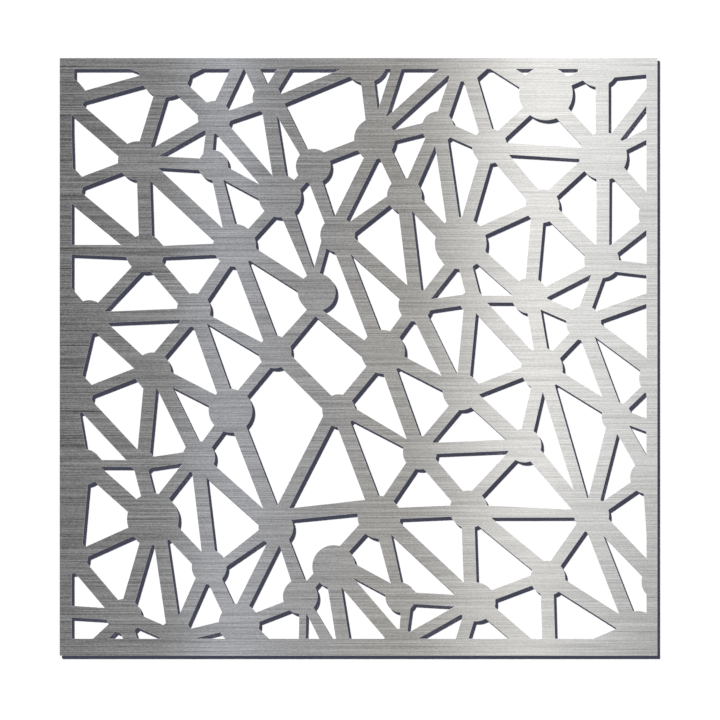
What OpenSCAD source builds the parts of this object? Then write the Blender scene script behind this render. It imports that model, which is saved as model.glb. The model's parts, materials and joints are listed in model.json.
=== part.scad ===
// A decorative screen, laser cut from one sheet: a network of round hubs and straight
// struts inside a thin border. Flanged studs welded to the back of the border carry it,
// and a spacer sleeve and an isolating washer on each stud hold it off the wall.
// X runs across the screen and Z up it. Its face looks towards -Y, and the wall is the
// plane y = 0, with the origin at the middle of the stud pattern. Millimetres.

/* [Sheet] */
// Width of the screen
screen_w = 600; // [560:1:680]
// Height of the screen
screen_h = 600; // [560:1:680]
// Thickness of the sheet
sheet_t = 3; // [1.5:0.5:5]
// Width of the border at the left
border_left = 12; // [11:0.5:14]
// Width of the border at the right
border_right = 11; // [11:0.5:14]
// Width of the border along the top
border_top = 11; // [11:0.5:14]
// Width of the border along the bottom
border_bottom = 17; // [11:0.5:20]

/* [Network] */
// Width of a level strut
level_w = 11.5; // [9:0.5:14]
// Width of a strut that rises gently to the right
gentle_rise_w = 10; // [8:0.5:12]
// Width of a strut that rises at 45 degrees
rise_w = 10.5; // [8:0.5:13]
// Width of a strut that rises steeply to the right
steep_rise_w = 12; // [10:0.5:14]
// Width of an upright strut
upright_w = 13; // [10:0.5:15]
// Width of a strut that falls steeply to the right
steep_fall_w = 14; // [11:0.5:16]
// Width of a strut that falls at 45 degrees
fall_w = 15.5; // [12:0.5:17]
// Width of a strut that falls gently to the right
gentle_fall_w = 13; // [10:0.5:15]
// Width of the slim struts, whichever way they lean
slim_w = 10; // [7:0.5:12]
// Width of the thinnest struts, whichever way they lean
thin_w = 7; // [5:0.5:9]
// Width of a tapering strut at its narrow end
tip_w = 7.5; // [6:0.5:9]
// How much each hub is larger in radius than it is drawn in the layout
hub_growth = 0; // [-1:0.5:2]

/* [Studs] */
// Diameter of the stud's thread
stud_d = 4; // [3:0.5:5]
// How much smaller the plain shank is than the thread, all round
thread_depth = 0.25; // [0.2:0.05:0.4]
// Length of the thread, which reaches into the wall
thread_l = 18; // [10:1:30]
// Diameter of the flange that is welded to the sheet
flange_d = 5.5; // [5.5:0.5:6.5]
// Thickness of the flange
flange_t = 0.8; // [0.6:0.1:1.2]
// Distance from the sheet's edges to the studs
stud_inset = 6; // [5.5:0.5:7]

/* [Spacers] */
// Outer diameter of a spacer sleeve
sleeve_d = 10; // [9:0.5:11]
// Length of a spacer sleeve
sleeve_l = 5; // [3:0.5:12]
// Thickness of an isolating washer
washer_t = 1; // [0.8:0.1:2]
// How much smaller an isolating washer is than its sleeve, all round
washer_margin = 0; // [0:0.1:0.5]
// Gap all round between a stud or its flange and what slides over it
slide_gap = 0.25; // [0.1:0.05:0.4]

/* [Hidden] */
$fn = 64;

// The sheet's back stands off the wall by the sleeve and its washer
stand_off = sleeve_l + washer_t;
sheet_back = -stand_off;

// The network is drawn from the lower left corner of a square of this side, and its
// places stretch with the screen
layout_side = 600;
// Most of the network is one motif and its copy turned half round about this point
turn_centre = [248, 275.5];

// Hubs by number, counted from 1: across, up, radius
hubs = [
    // 1 to 24: the motif, which is drawn again turned
    [78, 497, 19.5], [155, 540.5, 16.5], [154, 492.5, 15], [85.5, 404, 19],
    [175.5, 412, 21.5], [134.5, 347, 17], [93, 286, 18.5], [139.5, 199, 16.5],
    [93.5, 137, 26], [82, 196, 12], [171.5, 246, 22], [216, 305, 16.5],
    [279, 422.5, 17.5], [221, 461.5, 21.5], [254.5, 491.5, 17.5], [316, 519, 20.5],
    [379.5, 530.5, 16], [431.5, 511.5, 17.5], [484.5, 451.5, 17], [471.5, 361.5, 18],
    [346, 462, 17.5], [466.5, 211, 17], [490, 78, 17.5], [484, 288, 21],
    // 25 to 29: the top edge, with one in the middle
    [105.5, 586, 25.5], [258, 365, 19], [208, 559.5, 14.5], [306.5, 597, 22],
    [405, 598, 21.5],
    // 30 to 42: down the right side, and the upper left corner
    [488, 564.5, 27], [540, 591, 20], [545.5, 501.5, 24], [600, 442, 19],
    [544, 396.5, 17.5], [526, 334, 17.5], [534, 141, 17.5], [589, 179, 16.5],
    [601, 278.5, 19.5], [559, 239.5, 15], [580, 23.5, 21.5], [602, 74, 18],
    [5.5, 561.5, 19.5],
];
motif_hubs = 24;

// A strut joins two ends. An end is a hub's number, with a minus for the turned copy of that
// hub, or a point in the layout. Where a strut doesn't aim at its hubs' middles, the third
// entry says how far each end passes to the left of them. A fourth entry sets its width, or
// the widths at its two ends where it tapers.
// These struts are drawn again turned
paired_struts = [
    // Between hubs of the motif
    [1, 2, [-1.5, -1.5]], [1, 3], [1, 4, [5.5, 1]], [1, 5, [1.5, -3]], [2, 14, [-1.5, 0]],
    [2, 3, [-2.5, -6.5], [tip_w, slim_w]], [3, 5, [1, -1], [slim_w, steep_fall_w]],
    [3, 14, [-1.5, -6]], [4, 5, [1, -3]], [4, 6], [5, 6, [2.5, 0]], [5, 12],
    [6, 7, [2.5, -5]], [6, 11, [1, 0]], [6, 12, [-1, -4], [tip_w, gentle_fall_w]],
    [7, 8, [3.5, 0]], [7, 10, [-1, 1.5]], [7, 11, [1, 1]], [8, 9, [-3.5, -5.5]],
    [8, 10, [-2, 3.5]], [8, 11, [1, -1]], [9, 10, [-1, 2.5]], [11, 12, [2, -1.5]],
    [13, 15, [3, 3], [slim_w, steep_fall_w]], [13, 16, [5, -5]],
    [13, 21, [-2.5, 5.5], [upright_w, tip_w]], [14, 5, [4, 4.5]],
    [14, 15, [-5.5, 0]], [15, 16, [4, 0.5]], [16, 17, [-1.5, 2.5]], [16, 21, [3.5, 0.5]],
    [17, 18, [2, -1.5]], [17, 21, [-1, 2]], [18, 19, [1.5, 0]], [19, 20, [-4, 1]],
    [20, 24, [2, 2]], [22, 24, [0.5, 0]],
    // Between the motif and its turned copy
    [1, -23, [0.5, 3.5]], [4, -22, [5, 2]], [4, -23, [0.5, 3.5]], [6, -22, [3.5, 1]],
    [7, -22, [2.5, -0.5]], [8, -13, [-2.5, -1.5]], [8, -21, [-1.5, 1]], [9, -17, [4.5, -1.5]],
    [9, -18, [0, 0.5]], [9, -21, [5.5, -2.5]], [11, -13, [2, 2]], [19, -9, [-2, -2.5]],
    [20, -9, [3.5, -3]], [24, -7, [-4, 4]], [24, -10, [2.5, -3]],
    [[25, 193], [82, 193], [0, 0], thin_w],
    // Between the motif and hubs outside it
    [42, 1, [-2.5, -1]], [42, -23, [-1, 1]], [25, 1, [2.5, 2.5]], [27, 14, [0, 2.5]],
    [27, 15, [6.5, -2], [steep_fall_w, tip_w]], [18, 29, [-0.5, -1.5]], [18, 30, [0.5, 0]],
    [18, 32, [-1.5, 1.5]], [22, 36, [2, -4.5], [fall_w, gentle_fall_w]],
    [36, -4, [-1.5, 2], [tip_w, gentle_fall_w]],
];
// These are drawn once
single_struts = [
    // Top
    [[8, 592], [8, 572]], [42, 25, [-5, -2]], [25, [60, 600], [4, 0]], [25, 2, [-1, -1.5]],
    [[120, 583], [150, 598]], [2, 27, [-3.5, -4.5]], [2, [184, 602]],
    [27, [186, 602], [1, -1]], [27, [230, 600], [1, -1.5]], [27, 28, [-6.5, -3.5]], [16, 28],
    [16, [340, 600], [0.5, -1.5], slim_w], [16, 29, [2.5, 4]], [17, 29, [-1, 1.5]],
    [[410, 579], [432, 599]], [30, [424, 600], [2.5, -2]], [30, [493, 600], [2, 0]],
    [30, 31, [2, -1.5]],
    // Middle
    [5, 26, [2, -2.5]], [12, 26, [-2, -9.5], [gentle_fall_w, slim_w]],
    [14, 26, [1, 1], [fall_w, thin_w]], [26, -11, [-15.5, -9], [tip_w, fall_w]],
    [[267.5, 421], [252.5, 366], [0, 0], thin_w], [12, -12, [1.5, -2]],
    [-12, -13, [-5.5, -3]], [-13, -5, [12, 12.5], [level_w, gentle_fall_w]],
    // Right side
    [30, 32, [-1.5, -0.5]], [31, 32, [4.5, -1]], [31, [600, 590], [-6.5, 0]],
    [32, [600, 576], [2, -0.5]],
    [32, [600, 529]], [32, 33], [32, 34, [0, 1]], [19, 32, [2.5, 7]], [19, 34, [1.5, -0.5]],
    [33, 34, [-0.5, -1.5]], [34, [600, 387.5], [-3.5, -1]], [34, 35, [1, -3.5]],
    [34, 20, [2.5, 4.5]], [35, 20, [-1.5, 2]], [35, [600, 363], [2, -0.5]],
    [35, 24, [2, 0.5]], [35, 38, [2.5, 2.5]], [35, 39, [-1.5, 0.5]], [24, 39, [1, 3]],
    [38, 39, [-2.5, -1.5], thin_w], [39, [600, 226], [3, 1.5]], [39, 37, [-0.5, 3.5]],
    [36, 37], [36, 24, [4.5, -1], [slim_w, steep_fall_w]], [36, 39, [1.5, 1.5]],
    [36, 40, [-3.5, -3.5]], [36, 41, [2, -0.5]], [37, [595, 90], [4, 1], [fall_w, slim_w]],
    [23, 36, [2, 2]], [23, 40, [1, -1]], [40, [508, 0], [-6.5, 0]],
    // Bottom, and beside the border at the left
    [-15, [243.5, 0], [3, -0.5], thin_w], [-16, [215, -1], [2.5, 2.5]],
    [[14.5, 352], [13, 288]], [[11, 212], [10, 130]],
];

// Width of a strut by the angle that it rises at, measured from level, in degrees
lean_widths = [
    [0, level_w], [22, gentle_rise_w], [45, rise_w], [65, steep_rise_w], [90, upright_w],
    [112, steep_fall_w], [132, fall_w], [152, gentle_fall_w], [180, level_w],
];

// Studs at the four corners and at the middle of each side, from the sheet's centre
stud_x = screen_w / 2 - stud_inset;
stud_z = screen_h / 2 - stud_inset;
stud_places = [for (i = [-1:1], k = [-1:1]) if (i != 0 || k != 0) [i * stud_x, k * stud_z]];

function turned(p) = 2 * turn_centre - [p.x, p.y];
function layout_point(end) =
    is_list(end) ? end : end < 0 ? turned(hubs[-end - 1]) : hubs[end - 1];
function place(p) = [p.x * screen_w / layout_side, p.y * screen_h / layout_side];
function lean(run) = let (angle = atan2(run.y, run.x)) angle < 0 ? angle + 180 : angle;

module hub(centre, radius) {
    translate(place(centre))
        circle(r = radius + hub_growth);
}

// One straight strut between two points of the layout, square at its ends. Without a width
// of its own, its lean sets it
module strut(from, to, shifts, width) {
    run = place(to) - place(from);
    left = [-run.y, run.x] / norm(run);
    aside = is_undef(shifts) ? [0, 0] : shifts;
    start = place(from) + aside[0] * left;
    line = place(to) + aside[1] * left - start;
    w = is_undef(width) ? lookup(lean(line), lean_widths) : width;
    ends = is_list(w) ? w : [w, w];
    translate(start)
        rotate(atan2(line.y, line.x))
            polygon([
                [0, -ends[0] / 2], [norm(line), -ends[1] / 2],
                [norm(line), ends[1] / 2], [0, ends[0] / 2],
            ]);
}

module network() {
    for (h = hubs)
        hub(h, h[2]);
    for (i = [0:motif_hubs - 1])
        hub(turned(hubs[i]), hubs[i][2]);
    for (s = concat(paired_struts, single_struts))
        strut(layout_point(s[0]), layout_point(s[1]), s[2], s[3]);
    for (s = paired_struts)
        strut(turned(layout_point(s[0])), turned(layout_point(s[1])), s[2], s[3]);
}

module border() {
    difference() {
        square([screen_w, screen_h]);
        translate([border_left, border_bottom])
            square([screen_w - border_left - border_right,
                    screen_h - border_bottom - border_top]);
    }
}

// Puts a flat outline upright, its lower face on the plane y = back, growing towards -Y
module upright(back, depth) {
    translate([0, back, 0])
        rotate([90, 0, 0])
            linear_extrude(depth)
                children();
}

// Puts a piece on every stud, its own +Z turned to point from the sheet to the wall
module on_studs(y) {
    for (p = stud_places)
        translate([p.x, y, p.y])
            rotate([-90, 0, 0])
                children();
}

// Border and network as one flat blank, trimmed to the blank's outline
module screen_sheet() {
    color([0.62, 0.61, 0.60])
        upright(sheet_back, sheet_t)
            translate([-screen_w / 2, -screen_h / 2])
                union() {
                    border();
                    intersection() {
                        square([screen_w, screen_h]);
                        network();
                    }
                }
}

// Studs with a flange that is welded to the sheet's back, a plain shank that ends at the
// wall, and a thread that goes into it
module weld_studs() {
    color([0.72, 0.72, 0.74])
        on_studs(sheet_back) {
            cylinder(d = flange_d, h = flange_t);
            cylinder(d = stud_d - 2 * thread_depth, h = stand_off);
            translate([0, 0, stand_off])
                cylinder(d = stud_d, h = thread_l);
        }
}

// Turned sleeves that seat on the sheet's back, bored for the stud and its flange
module spacer_sleeves() {
    color([0.80, 0.80, 0.82])
        on_studs(sheet_back)
            difference() {
                cylinder(d = sleeve_d, h = sleeve_l);
                cylinder(d = stud_d + 2 * slide_gap, h = sleeve_l);
                cylinder(d = flange_d + 2 * slide_gap, h = flange_t + slide_gap);
            }
}

// Rubber washers between the sleeves and the wall
module isolating_washers() {
    color([0.12, 0.12, 0.13])
        on_studs(sheet_back + sleeve_l)
            difference() {
                cylinder(d = sleeve_d - 2 * washer_margin, h = washer_t);
                cylinder(d = stud_d + 2 * slide_gap, h = washer_t);
            }
}

screen_sheet();
weld_studs();
spacer_sleeves();
isolating_washers();
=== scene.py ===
"""A laser cut metal screen on the white wall that it hangs on, in metres and in the
part's own frame: X across, Z up, the face towards -Y and the wall on the plane y = 0."""

import json
import math

import bmesh
import bpy
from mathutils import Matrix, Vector


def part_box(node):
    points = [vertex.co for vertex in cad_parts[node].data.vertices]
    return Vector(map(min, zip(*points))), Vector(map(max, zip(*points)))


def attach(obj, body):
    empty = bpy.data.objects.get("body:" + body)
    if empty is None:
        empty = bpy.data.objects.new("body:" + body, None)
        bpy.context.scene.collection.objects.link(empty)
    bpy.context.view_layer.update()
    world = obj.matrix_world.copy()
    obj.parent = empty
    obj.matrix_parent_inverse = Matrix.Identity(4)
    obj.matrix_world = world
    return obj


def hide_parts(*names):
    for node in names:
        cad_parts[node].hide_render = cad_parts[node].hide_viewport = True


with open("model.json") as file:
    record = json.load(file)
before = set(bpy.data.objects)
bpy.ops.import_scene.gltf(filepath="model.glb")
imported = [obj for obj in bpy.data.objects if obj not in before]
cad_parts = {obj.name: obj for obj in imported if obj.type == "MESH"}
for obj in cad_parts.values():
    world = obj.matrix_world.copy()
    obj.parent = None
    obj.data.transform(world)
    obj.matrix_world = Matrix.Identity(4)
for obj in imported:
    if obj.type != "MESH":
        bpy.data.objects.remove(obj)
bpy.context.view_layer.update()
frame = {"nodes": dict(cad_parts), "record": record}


# ---- The screen's sheet --------------------------------------------------------------
# One blank of 3 mm stainless sheet, brushed from side to side, that hangs on studs welded
# to its back. The laser leaves fine lines through the thickness of the cut walls, and a
# deburring brush breaks the sharp edges and leaves them matt.

SHEET_FROM, SHEET_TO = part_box("screen_sheet")
DEBURR = 0.00015
SAME_POINT = 1e-6
SAME_PLANE = math.radians(0.2)
SHARP_CUT = math.radians(60)
CUT_CREASE = math.radians(35)
FLAT_FACE = 0.999


def mesh_data(mesh, name):
    """A bmesh as mesh data. The bmesh is freed."""
    data = bpy.data.meshes.new(name)
    mesh.to_mesh(data)
    mesh.free()
    return data


def in_scene(name, data):
    """A new object, put in the scene."""
    thing = bpy.data.objects.new(name, data)
    bpy.context.scene.collection.objects.link(thing)
    return thing


def deburred_copy(node, name):
    """A copy of a sheet's node with its flat faces whole and its cut edges broken."""
    mesh = bmesh.new()
    mesh.from_mesh(frame["nodes"][node].data)
    bmesh.ops.remove_doubles(mesh, verts=mesh.verts, dist=SAME_POINT)
    bmesh.ops.dissolve_limit(
        mesh, angle_limit=SAME_PLANE, verts=mesh.verts, edges=mesh.edges
    )
    cut_edges = [
        edge for edge in mesh.edges
        if len(edge.link_faces) == 2 and edge.calc_face_angle(0) > SHARP_CUT
    ]
    bmesh.ops.bevel(
        mesh, geom=cut_edges, offset=DEBURR, segments=2, profile=0.5, affect="EDGES"
    )
    bmesh.ops.recalc_face_normals(mesh, faces=mesh.faces)
    for face in mesh.faces:
        face.smooth = True
    for edge in mesh.edges:
        flat = any(abs(face.normal.y) > FLAT_FACE for face in edge.link_faces)
        edge.smooth = not flat and edge.calc_face_angle(0) < CUT_CREASE
    return in_scene(name, mesh_data(mesh, name))


def add(tree, kind, inputs=None, **settings):
    """A new node. An input is a value, or the socket of another node to link from."""
    node = tree.nodes.new(kind)
    for name, value in settings.items():
        setattr(node, name, value)
    for name, value in (inputs or {}).items():
        if isinstance(value, bpy.types.NodeSocket):
            tree.links.new(value, node.inputs[name])
        else:
            node.inputs[name].default_value = value
    return node


def maths(tree, operation, *values, clamp=False):
    """A Math node's result."""
    return add(
        tree, "ShaderNodeMath", dict(enumerate(values)), operation=operation,
        use_clamp=clamp,
    ).outputs[0]


def vector_maths(tree, operation, *values):
    """A Vector Math node's result, for an operation that gives a vector."""
    return add(
        tree, "ShaderNodeVectorMath", dict(enumerate(values)), operation=operation
    ).outputs[0]


def ranged(
    tree, value, start=0.0, end=1.0, to_start=0.0, to_end=1.0, kind="LINEAR"
):
    """A value that goes from start to end, made to go from to_start to to_end."""
    return add(tree, "ShaderNodeMapRange", {
        "Value": value, "From Min": start, "From Max": end,
        "To Min": to_start, "To Max": to_end,
    }, interpolation_type=kind).outputs[0]


def noise(tree, vector, scale=1.0, detail=2.0, roughness=0.5):
    """A Noise Texture's level, from 0 to 1."""
    return add(tree, "ShaderNodeTexNoise", {
        "Vector": vector, "Scale": scale, "Detail": detail, "Roughness": roughness,
    }).outputs["Fac"]


def stretched(tree, vector, scale):
    """Coordinates scaled along each axis."""
    return add(
        tree, "ShaderNodeMapping", {"Vector": vector, "Scale": scale}
    ).outputs[0]


def ramp(tree, factor, stops, interpolation="LINEAR"):
    """A colour ramp's result. Each stop is a place and a colour or a grey level."""
    node = add(tree, "ShaderNodeValToRGB", {0: factor})
    node.color_ramp.interpolation = interpolation
    marks = node.color_ramp.elements
    for i, (place, colour) in enumerate(stops):
        mark = marks[i] if i < 2 else marks.new(place)
        mark.position = place
        if not isinstance(colour, tuple):
            colour = (colour, colour, colour)
        mark.color = (*colour, 1)
    return node.outputs["Color"]


def mixed(tree, factor, a, b):
    """Two colours mixed."""
    return add(
        tree, "ShaderNodeMix", {0: factor, 6: a, 7: b}, data_type="RGBA"
    ).outputs[2]


def new_material(name):
    """A new material, its tree, its Principled BSDF and its coordinates' sockets."""
    material = bpy.data.materials.new(name)
    material.use_nodes = True
    tree = material.node_tree
    spot = add(tree, "ShaderNodeTexCoord").outputs
    return material, tree, tree.nodes["Principled BSDF"], spot


def dress(shader, colour, roughness, height, strength, depth, metallic=1.0):
    """Gives a Principled BSDF its colour, its roughness and a relief."""
    tree = shader.id_data
    relief = add(tree, "ShaderNodeBump", {
        "Height": height, "Strength": strength, "Distance": depth,
    })
    tree.links.new(colour, shader.inputs["Base Color"])
    tree.links.new(roughness, shader.inputs["Roughness"])
    tree.links.new(relief.outputs[0], shader.inputs["Normal"])
    shader.inputs["Metallic"].default_value = metallic


# Most lines are long ones, and a few go deep enough to read as scratches
LONG_SHARE, SHORT_SHARE = 0.64, 0.36
SHORTENED = (90, 1.4, 1.4)
THINNED_OUT = (1.7, 1.3, 1.3)
SCRATCHED_ABOVE = 0.74
SCRATCH_DEPTH = 0.12


def brushed_lines():
    """Shader group: the fine parallel lines that an abrasive belt or a lathe tool leaves.
    They run where Vector changes slowest, and Vector is in lines across its fast axis."""
    group = bpy.data.node_groups.new("brushed lines", "ShaderNodeTree")
    for name, kind, direction in (
        ("Vector", "NodeSocketVector", "INPUT"),
        ("Scratches", "NodeSocketFloat", "INPUT"),
        ("Lines", "NodeSocketFloat", "OUTPUT"),
    ):
        group.interface.new_socket(name, in_out=direction, socket_type=kind)
    given = add(group, "NodeGroupInput").outputs
    long_lines = noise(group, given["Vector"], detail=3.0, roughness=0.55)
    crowded = vector_maths(group, "MULTIPLY", given["Vector"], SHORTENED)
    short_lines = noise(group, crowded, detail=1.0)
    lines = maths(
        group, "ADD", maths(group, "MULTIPLY", long_lines, LONG_SHARE),
        maths(group, "MULTIPLY", short_lines, SHORT_SHARE),
    )
    sparse = vector_maths(group, "MULTIPLY", given["Vector"], THINNED_OUT)
    cut = noise(group, sparse, detail=0.0)
    scratches = maths(
        group, "MULTIPLY", maths(group, "GREATER_THAN", cut, SCRATCHED_ABOVE),
        given["Scratches"],
    )
    marked = maths(
        group, "SUBTRACT", lines, maths(group, "MULTIPLY", scratches, SCRATCH_DEPTH),
        clamp=True,
    )
    add(group, "NodeGroupOutput", {"Lines": marked})
    return group


LINES = brushed_lines()


def lines_on(tree, vector, fineness, scratches):
    """The brushed lines group's result. Fineness is in lines a metre along each axis."""
    return add(tree, "ShaderNodeGroup", {
        "Vector": stretched(tree, vector, fineness), "Scratches": scratches,
    }, node_tree=LINES).outputs["Lines"]


sheet_steel, tree, steel, spot = new_material("brushed stainless sheet")
place = add(tree, "ShaderNodeSeparateXYZ", {0: spot["Object"]}).outputs
across, up = place["X"], place["Z"]
from_left = ranged(tree, across, SHEET_FROM.x, SHEET_TO.x)
from_foot = ranged(tree, up, SHEET_FROM.z, SHEET_TO.z)

# Grain: streaks about a tenth of a metre long and under a millimetre apart
GRAIN_FINENESS = (8.0, 40.0, 1450.0)
GRAIN_CONTRAST = 0.80
grain = lines_on(tree, spot["Object"], GRAIN_FINENESS, 1.0)

# Painted reflection: long bands of tone, painted into the colour in place of the room's
# reflection in the brushed metal, run up the blank from dark at its left to pale at its
# right. Their contrast fades from the middle to the foot. Towards the head one band
# darkens and the pale side gains a little
REFLECTION_CHANGE_AT = 0.46
GAIN_AT_LEFT, LOSS_AT_RIGHT = 0.11, -0.30
PALE_REFLECTION_GAIN = 0.09
DARK_REFLECTION_LOSS = 0.18
reflection_bands = ramp(tree, from_left, [
    (0.0, (0.19, 0.19, 0.19)), (0.15, (0.24, 0.24, 0.24)),
    (0.28, (0.365, 0.37, 0.39)), (0.40, (0.335, 0.335, 0.34)),
    (0.55, (0.39, 0.38, 0.365)), (0.81, (0.82, 0.81, 0.785)),
    (0.88, (0.77, 0.765, 0.75)), (1.0, (0.69, 0.69, 0.68)),
], "EASE")
near_foot = ranged(
    tree, from_foot, end=REFLECTION_CHANGE_AT, to_start=1.0, to_end=0.0, kind="SMOOTHSTEP"
)
near_head = ranged(tree, from_foot, start=REFLECTION_CHANGE_AT, kind="SMOOTHSTEP")
evened = ranged(
    tree, from_left, start=0.45, to_start=GAIN_AT_LEFT, to_end=LOSS_AT_RIGHT
)
dark_reflection_band = ramp(
    tree, from_left, [(0.29, 0.0), (0.36, 1.0), (0.50, 1.0), (0.80, 0.0)], "EASE"
)
pale_reflection_side = ranged(tree, from_left, 0.65, 0.85)
head_change = maths(
    tree, "SUBTRACT", maths(tree, "MULTIPLY", pale_reflection_side, PALE_REFLECTION_GAIN),
    maths(tree, "MULTIPLY", dark_reflection_band, DARK_REFLECTION_LOSS),
)
reflection_scale = maths(
    tree, "ADD", 1.0,
    maths(
        tree, "ADD", maths(tree, "MULTIPLY", near_foot, evened),
        maths(tree, "MULTIPLY", near_head, head_change),
    ),
)
# The painted reflection bands, scaled towards the foot and the head, as the sheet's tone
painted_reflection_tone = add(
    tree, "ShaderNodeVectorMath", {0: reflection_bands, "Scale": reflection_scale}, operation="SCALE"
).outputs[0]
lift = maths(tree, "MULTIPLY", maths(tree, "SUBTRACT", grain, 0.5), GRAIN_CONTRAST)
grey_lift = add(tree, "ShaderNodeCombineXYZ", {0: lift, 1: lift, 2: lift}).outputs[0]
grained = vector_maths(tree, "ADD", painted_reflection_tone, grey_lift)

# Cut walls and broken edges, told from the faces by the way that they look
STRIAE_FINENESS = (2600.0, 160.0, 2600.0)
WALL_FROM, WALL_TO = 0.25, 0.15
RIM_BELOW = 0.985
RIM_COLOUR = (0.85, 0.85, 0.84, 1)
RIM_SHARE = 0.45
RIM_ROUGHNESS = 0.70
facing = add(tree, "ShaderNodeSeparateXYZ", {0: spot["Normal"]}).outputs["Y"]
flatness = maths(tree, "ABSOLUTE", facing)
wall = ranged(tree, flatness, WALL_FROM, WALL_TO)
rim = maths(
    tree, "MULTIPLY", maths(tree, "LESS_THAN", flatness, RIM_BELOW),
    maths(tree, "SUBTRACT", 1.0, wall), clamp=True,
)
striae = noise(tree, stretched(tree, spot["Object"], STRIAE_FINENESS))
cut_metal = ramp(tree, striae, [
    (0.30, (0.20, 0.195, 0.19)), (0.55, (0.36, 0.35, 0.34)), (0.75, (0.50, 0.49, 0.47)),
])
faced = mixed(tree, wall, grained, cut_metal)
edged = mixed(tree, maths(tree, "MULTIPLY", rim, RIM_SHARE), faced, RIM_COLOUR)

# A straw and blue halo round each stud's weld, on the back alone. The stops of its
# colours are in centimetres from the stud's middle
HALO_FROM, HALO_TO = 0.0062, 0.0098
HALO_SHARE = 0.75
HALO_RAGGEDNESS = 0.0016
CENTIMETRES = 100.0
# Neighbouring studs are half the corner studs' spacing apart
stud_pitch = frame["record"]["mounts"][0]["dims"]["spacing_x_mm"] / 2000
centred = vector_maths(
    tree, "ADD", spot["Object"], (stud_pitch / 2, 0, stud_pitch / 2)
)
nearest = vector_maths(tree, "SNAP", centred, (stud_pitch, 1, stud_pitch))
offset = vector_maths(tree, "SUBTRACT", spot["Object"], nearest)
flat_offset = vector_maths(tree, "MULTIPLY", offset, (1, 0, 1))
from_stud = add(
    tree, "ShaderNodeVectorMath", {0: flat_offset}, operation="LENGTH"
).outputs["Value"]
ragged = maths(tree, "ADD", from_stud, maths(
    tree, "MULTIPLY", noise(tree, spot["Object"], scale=350.0), HALO_RAGGEDNESS,
))
halo = ramp(tree, maths(tree, "MULTIPLY", ragged, CENTIMETRES), [
    (0.0, (0.20, 0.24, 0.36)), (0.62, (0.22, 0.26, 0.40)), (0.76, (0.48, 0.36, 0.20)),
    (0.92, (0.56, 0.54, 0.50)),
])

# The pattern that the halo repeats on has a place at the sheet's middle, without a stud
BORDER_BEYOND = 0.25
BACK_FACE = 0.9
from_middle = maths(
    tree, "MAXIMUM", maths(tree, "ABSOLUTE", across), maths(tree, "ABSOLUTE", up)
)
on_border = maths(tree, "GREATER_THAN", from_middle, BORDER_BEYOND)
on_back = maths(tree, "GREATER_THAN", facing, BACK_FACE)
halo_strength = ranged(tree, ragged, HALO_FROM, HALO_TO, HALO_SHARE, 0.0)
tinted = maths(
    tree, "MULTIPLY", on_border, maths(tree, "MULTIPLY", on_back, halo_strength)
)

# The grain varies the gloss of the faces. The cut walls are duller, and the rims matt
WALL_DULLNESS = 0.5
dullness = maths(tree, "ADD", grain, maths(tree, "MULTIPLY", wall, WALL_DULLNESS))
brushed = ranged(tree, dullness, start=0.3, end=1.2, to_start=0.20, to_end=0.34)
dress(
    steel,
    colour=mixed(tree, tinted, edged, halo),
    roughness=maths(
        tree, "MAXIMUM", brushed, maths(tree, "MULTIPLY", rim, RIM_ROUGHNESS)
    ),
    height=mixed(tree, wall, grain, striae), strength=0.22, depth=0.0002,
)

sheet = deburred_copy("screen_sheet", "deburred_sheet")
sheet.data.materials.append(sheet_steel)
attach(sheet, "root")
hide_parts("screen_sheet")


# ---- Weld studs ----------------------------------------------------------------------
# Eight bright steel studs, each with a flange that is welded to the sheet's back, a plain
# shank under the sleeve, and a rolled thread that goes into the wall.

_, STUD_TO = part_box("weld_studs")
FLANGE_R = STUD_TO.x - stud_pitch
FLANGE_T = 0.0008
FLANGE_ROUND = 0.0001
FLANGE_CHAMFER = 0.0002
SHANK_R = 0.00175
SHANK_FILLET = 0.0003
SHANK_SHORT_OF_WALL = 0.0002
THREAD_R = 0.002
THREAD_PITCH = 0.0007
THREAD_DEPTH = 0.00043
TIP_LENGTH = 0.0002
TIP_CHAMFER = 0.0006
TIP_RINGS = 3
STEPS_ROUND = 32
RINGS_A_PITCH = 8
TURNED_CREASE = math.radians(38)


def turned(name, outline, closed):
    """A mesh turned round the Y axis from an outline of (radius, y, depth of thread). A
    closed outline goes round a bore, and an open one starts and ends on the axis."""
    mesh = bmesh.new()
    rings = []
    for radius, y, thread in outline:
        ring = []
        for i in range(STEPS_ROUND if radius > 0 else 1):
            angle = 2 * math.pi * i / STEPS_ROUND
            phase = (y / THREAD_PITCH + angle / (2 * math.pi)) % 1
            r = radius - thread * abs(2 * phase - 1)
            ring.append(mesh.verts.new((r * math.cos(angle), y, r * math.sin(angle))))
        rings.append(ring)
    for a, b in zip(rings, rings[1:] + rings[:1] if closed else rings[1:]):
        for i in range(STEPS_ROUND):
            j = (i + 1) % STEPS_ROUND
            corners = [a[i % len(a)], a[j % len(a)], b[j % len(b)], b[i % len(b)]]
            mesh.faces.new(dict.fromkeys(corners))
    bmesh.ops.recalc_face_normals(mesh, faces=mesh.faces)
    for face in mesh.faces:
        face.smooth = True
    for edge in mesh.edges:
        edge.smooth = edge.calc_face_angle(0) < TURNED_CREASE
    return mesh_data(mesh, name)


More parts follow.
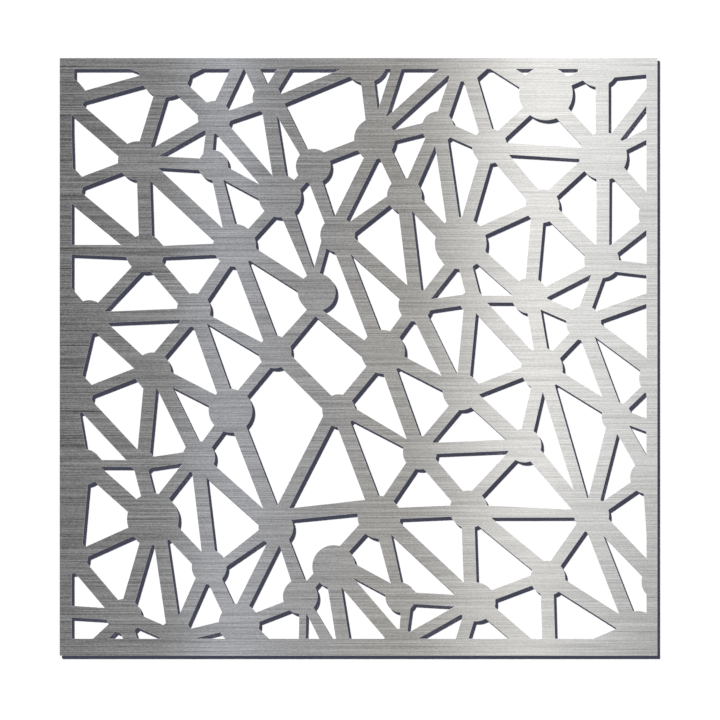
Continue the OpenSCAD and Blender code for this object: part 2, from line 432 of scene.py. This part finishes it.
def places_on_the_border():
    """Geometry tree: puts the piece that it is given at the corners and at the middle of
    each side of an upright rectangle, and makes the copies real."""
    tree = bpy.data.node_groups.new("a piece at each stud", "GeometryNodeTree")
    for name, kind, direction in (
        ("Piece", "NodeSocketGeometry", "INPUT"),
        ("Span", "NodeSocketFloat", "INPUT"),
        ("Finish", "NodeSocketMaterial", "INPUT"),
        ("Pieces", "NodeSocketGeometry", "OUTPUT"),
    ):
        tree.interface.new_socket(name, in_out=direction, socket_type=kind)
    given = add(tree, "NodeGroupInput").outputs
    nine = add(tree, "GeometryNodeMeshGrid", {
        "Size X": given["Span"], "Size Y": given["Span"],
        "Vertices X": 3, "Vertices Y": 3,
    }).outputs["Mesh"]
    from_middle = add(tree, "ShaderNodeVectorMath", {
        0: add(tree, "GeometryNodeInputPosition").outputs[0],
    }, operation="LENGTH").outputs["Value"]
    in_middle = add(tree, "FunctionNodeCompare", {
        0: from_middle, 1: 0.001,
    }, operation="LESS_THAN").outputs[0]
    eight = add(tree, "GeometryNodeDeleteGeometry", {
        "Geometry": nine, "Selection": in_middle,
    }).outputs[0]
    upright = add(tree, "GeometryNodeTransform", {
        "Geometry": eight, "Rotation": (math.pi / 2, 0, 0),
    }).outputs[0]
    copies = add(tree, "GeometryNodeInstanceOnPoints", {
        "Points": upright, "Instance": given["Piece"],
    }).outputs[0]
    real = add(tree, "GeometryNodeRealizeInstances", {0: copies}).outputs[0]
    finished = add(tree, "GeometryNodeSetMaterial", {
        "Geometry": real, "Material": given["Finish"],
    }).outputs[0]
    add(tree, "NodeGroupOutput", {"Pieces": finished})
    return tree


BORDER_PLACES = places_on_the_border()


def at_each_stud(name, single, finish, node):
    """One piece made eight, as a plain mesh that stands for a CAD node."""
    seed = in_scene(name + " seed", single)
    placing = seed.modifiers.new("placing", "NODES")
    placing.node_group = BORDER_PLACES
    sockets = {
        item.name: item.identifier for item in BORDER_PLACES.interface.items_tree
        if item.in_out == "INPUT"
    }
    placing[sockets["Span"]] = 2 * stud_pitch
    placing[sockets["Finish"]] = finish
    made = seed.evaluated_get(bpy.context.evaluated_depsgraph_get())
    data = bpy.data.meshes.new_from_object(made)
    data.name = name
    bpy.data.objects.remove(seed)
    piece = in_scene(name, data)
    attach(piece, "root")
    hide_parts(node)


sheet_back = SHEET_TO.y
flange_top = sheet_back + FLANGE_T
thread_end = STUD_TO.y
thread_rings = round(thread_end / THREAD_PITCH * RINGS_A_PITCH)
stud_outline = [
    (0, sheet_back, 0), (FLANGE_R - FLANGE_ROUND, sheet_back, 0),
    (FLANGE_R, sheet_back + FLANGE_ROUND, 0),
    (FLANGE_R, flange_top - FLANGE_CHAMFER, 0),
    (FLANGE_R - FLANGE_CHAMFER, flange_top, 0),
    (SHANK_R + SHANK_FILLET, flange_top, 0), (SHANK_R, flange_top + SHANK_FILLET, 0),
    (SHANK_R, -SHANK_SHORT_OF_WALL, 0),
]
for i in range(thread_rings - TIP_RINGS):
    y = i * thread_end / thread_rings
    run_in = min(1, i / RINGS_A_PITCH)
    crest = SHANK_R + (THREAD_R - SHANK_R) * run_in
    stud_outline.append((crest, y, THREAD_DEPTH * run_in))
stud_outline += [
    (THREAD_R - THREAD_DEPTH, thread_end - TIP_LENGTH, 0),
    (THREAD_R - TIP_CHAMFER, thread_end, 0), (0, thread_end, 0),
]

# Rolled steel, dulled in patches where it has been handled
stud_steel, tree, steel, spot = new_material("bright stud steel")
rolled = lines_on(tree, spot["Object"], (700.0, 4000.0, 700.0), 0.5)
dulled = noise(tree, spot["Object"], scale=420.0, detail=4.0)
bright_steel = ramp(tree, rolled, [
    (0.30, (0.42, 0.42, 0.43)), (0.70, (0.66, 0.66, 0.67)),
])
dress(
    steel,
    colour=mixed(tree, dulled, bright_steel, (0.60, 0.59, 0.56, 1)),
    roughness=ranged(tree, dulled, to_start=0.22, to_end=0.42),
    height=rolled, strength=0.15, depth=0.00005,
)

at_each_stud(
    "threaded_studs", turned("stud", stud_outline, closed=False), stud_steel,
    "weld_studs",
)


# ---- Spacer sleeves ------------------------------------------------------------------
# Eight aluminium sleeves, turned on a lathe, that slide over the studs and seat on the
# sheet's back. A counterbore clears the stud's flange, and both rims are chamfered.

SLEEVE_FROM, SLEEVE_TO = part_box("spacer_sleeves")
SLEEVE_R = SLEEVE_TO.x - stud_pitch
BORE_R = 0.00225
COUNTERBORE_R = 0.003
COUNTERBORE_DEPTH = 0.00105
CHAMFER = 0.0004

seat, foot = SLEEVE_FROM.y, SLEEVE_TO.y
sleeve_outline = [
    (COUNTERBORE_R, seat, 0), (SLEEVE_R - CHAMFER, seat, 0),
    (SLEEVE_R, seat + CHAMFER, 0), (SLEEVE_R, foot - CHAMFER, 0),
    (SLEEVE_R - CHAMFER, foot, 0), (BORE_R + CHAMFER / 2, foot, 0),
    (BORE_R, foot - CHAMFER / 2, 0), (BORE_R, seat + COUNTERBORE_DEPTH, 0),
    (COUNTERBORE_R, seat + COUNTERBORE_DEPTH, 0),
]

# The tool's marks go round the sleeve, a ninth of a millimetre apart
turned_aluminium, tree, metal, spot = new_material("turned aluminium")
tool_marks = lines_on(tree, spot["Object"], (60.0, 9000.0, 60.0), 0.6)
dress(
    metal,
    colour=ramp(tree, tool_marks, [
        (0.30, (0.56, 0.57, 0.58)), (0.55, (0.72, 0.72, 0.73)),
        (0.75, (0.80, 0.80, 0.80)),
    ]),
    roughness=ranged(tree, tool_marks, to_start=0.24, to_end=0.46),
    height=tool_marks, strength=0.2, depth=0.00005,
)

at_each_stud(
    "turned_sleeves", turned("sleeve", sleeve_outline, closed=True), turned_aluminium,
    "spacer_sleeves",
)


# ---- Isolating washers ---------------------------------------------------------------
# Eight black rubber washers, one between each sleeve and the wall, that keep the metal
# off the plaster. Each is pressed a little, so that its rim bulges.

WASHER_FROM, WASHER_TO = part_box("isolating_washers")
WASHER_R = WASHER_TO.x - stud_pitch
BULGE = 0.0003
BULGE_STEPS = 8

seat, foot = WASHER_FROM.y, WASHER_TO.y
middle = (seat + foot) / 2
washer_outline = [(BORE_R, seat, 0), (BORE_R, foot, 0)]
for i in range(BULGE_STEPS + 1):
    angle = math.radians(90 - 180 * i / BULGE_STEPS)
    washer_outline.append((
        WASHER_R - BULGE + BULGE * math.cos(angle),
        middle + (foot - seat) / 2 * math.sin(angle), 0,
    ))

# Rubber, with the pale bloom that comes to its surface in patches
black_rubber, tree, rubber, spot = new_material("black rubber")
bloom = noise(tree, spot["Object"], scale=900.0, detail=3.0)
dress(
    rubber,
    colour=ramp(tree, bloom, [
        (0.35, (0.022, 0.022, 0.024)), (0.75, (0.060, 0.060, 0.062)),
    ]),
    roughness=ranged(tree, bloom, to_start=0.62, to_end=0.85),
    height=bloom, strength=0.3, depth=0.0001, metallic=0.0,
)

at_each_stud(
    "rubber_washers", turned("washer", washer_outline, closed=True), black_rubber,
    "isolating_washers",
)


# ---- The wall ------------------------------------------------------------------------
# A plain white wall behind the screen, which takes its hard shadow. From behind it is
# clear, so that the back of the screen can be seen. It isn't part of the screen.

WALL_SIDE = 8.0
PAINT = (0.95, 0.95, 0.95, 1)
SKYLIGHT = (0.65, 0.68, 1.0, 1)
SKYLIGHT_STRENGTH = 0.085
WHITE = (1, 1, 1, 1)
BLACK = (0, 0, 0, 1)
ONE_BOUNCE = 0.5


def glow(tree, colour, strength):
    """A shader that gives off light."""
    return add(
        tree, "ShaderNodeEmission", {"Color": colour, "Strength": strength}
    ).outputs[0]


def either(tree, factor, a, b):
    """Two shaders mixed."""
    return add(tree, "ShaderNodeMixShader", {0: factor, 1: a, 2: b}).outputs[0]


half = WALL_SIDE / 2
wall_data = bpy.data.meshes.new("wall")
wall_data.from_pydata(
    [(-half, 0, -half), (half, 0, -half), (half, 0, half), (-half, 0, half)], [],
    [(0, 1, 2, 3)],
)
wall_plane = in_scene("wall", wall_data)

# The paint and a little blue skylight, which the lamp's shadow shows. Polished metal sees
# plain white there, and after a bounce the wall is dark, so it doesn't lighten its shadow
white_wall = bpy.data.materials.new("white wall")
white_wall.use_nodes = True
tree = white_wall.node_tree
tree.nodes.clear()
light_path = add(tree, "ShaderNodeLightPath").outputs
paint = add(tree, "ShaderNodeBsdfDiffuse", {"Color": PAINT}).outputs[0]
skylight = glow(tree, SKYLIGHT, SKYLIGHT_STRENGTH)
lit = add(tree, "ShaderNodeAddShader", {0: paint, 1: skylight}).outputs[0]
front = either(tree, light_path["Is Glossy Ray"], lit, glow(tree, WHITE, 1.0))
unseen = maths(
    tree, "MAXIMUM", add(tree, "ShaderNodeNewGeometry").outputs["Backfacing"],
    light_path["Is Shadow Ray"],
)
clear = add(tree, "ShaderNodeBsdfTransparent").outputs[0]
from_front = either(tree, unseen, front, clear)
bounced = maths(tree, "GREATER_THAN", light_path["Diffuse Depth"], ONE_BOUNCE)
unspilt = either(tree, bounced, from_front, glow(tree, BLACK, 0.0))
add(tree, "ShaderNodeOutputMaterial", {"Surface": unspilt})
wall_data.materials.append(white_wall)


# ---- Light and camera ----------------------------------------------------------------
# A small hard lamp at the upper left throws the shadow to the right by a third of what
# the face stands off the wall, and down by two fifths. The metal reflects a white room,
# and a soft lamp behind the wall lights the screen's back.

SHADOW_ACROSS = 0.34
SHADOW_DOWN = 0.42
KEY_STRENGTH = 3.6
KEY_WIDTH = math.radians(3.5)
REAR_POWER = 7
REAR_SIDE = 2.5
REAR_PLACE = (0.6, 2.2, 0.9)
ROOM_IN_METAL = 0.7


def aim(lamp, direction):
    """Turns a lamp so that it shines along a direction."""
    lamp.rotation_mode = "QUATERNION"
    lamp.rotation_quaternion = direction.to_track_quat("-Z", "Y")


key_data = bpy.data.lights.new("key", "SUN")
key_data.energy = KEY_STRENGTH
key_data.angle = KEY_WIDTH
aim(in_scene("key", key_data), Vector((SHADOW_ACROSS, 1, -SHADOW_DOWN)))

rear_data = bpy.data.lights.new("rear fill", "AREA")
rear_data.energy = REAR_POWER
rear_data.shape = "SQUARE"
rear_data.size = REAR_SIDE
rear = in_scene("rear fill", rear_data)
rear.location = REAR_PLACE
aim(rear, -rear.location)

# The room shows white, and dimmer in metal. It lights nothing after a bounce
room = bpy.data.worlds.new("white room")
bpy.context.scene.world = room
room.use_nodes = True
tree = room.node_tree
light_path = add(tree, "ShaderNodeLightPath").outputs
seen = maths(
    tree, "MAXIMUM", light_path["Is Camera Ray"], light_path["Is Transmission Ray"]
)
reflected = maths(tree, "MULTIPLY", light_path["Is Glossy Ray"], ROOM_IN_METAL)
unbounced = maths(tree, "LESS_THAN", light_path["Diffuse Depth"], ONE_BOUNCE)
room_strength = maths(
    tree, "MULTIPLY", maths(tree, "MAXIMUM", seen, reflected), unbounced
)
tree.links.new(room_strength, tree.nodes["Background"].inputs["Strength"])
tree.nodes["Background"].inputs["Color"].default_value = WHITE

# The photograph's frame is 723 mm wide at the sheet's face, from nearly straight ahead
FRAME_WIDTH = 0.7227
FRAME_MIDDLE_X, FRAME_MIDDLE_Z = 0.0015, -0.0032
LENS = 800
SENSOR = 36
distance = FRAME_WIDTH * LENS / SENSOR
lens_data = bpy.data.cameras.new("front view")
lens_data.lens = LENS
lens_data.sensor_width = SENSOR
lens_data.clip_end = 50
camera = in_scene("front view", lens_data)
camera.location = (FRAME_MIDDLE_X, SHEET_FROM.y - distance, FRAME_MIDDLE_Z)
camera.rotation_euler = (math.pi / 2, 0, 0)
bpy.context.scene.camera = camera
bpy.context.scene.view_settings.view_transform = "Standard"
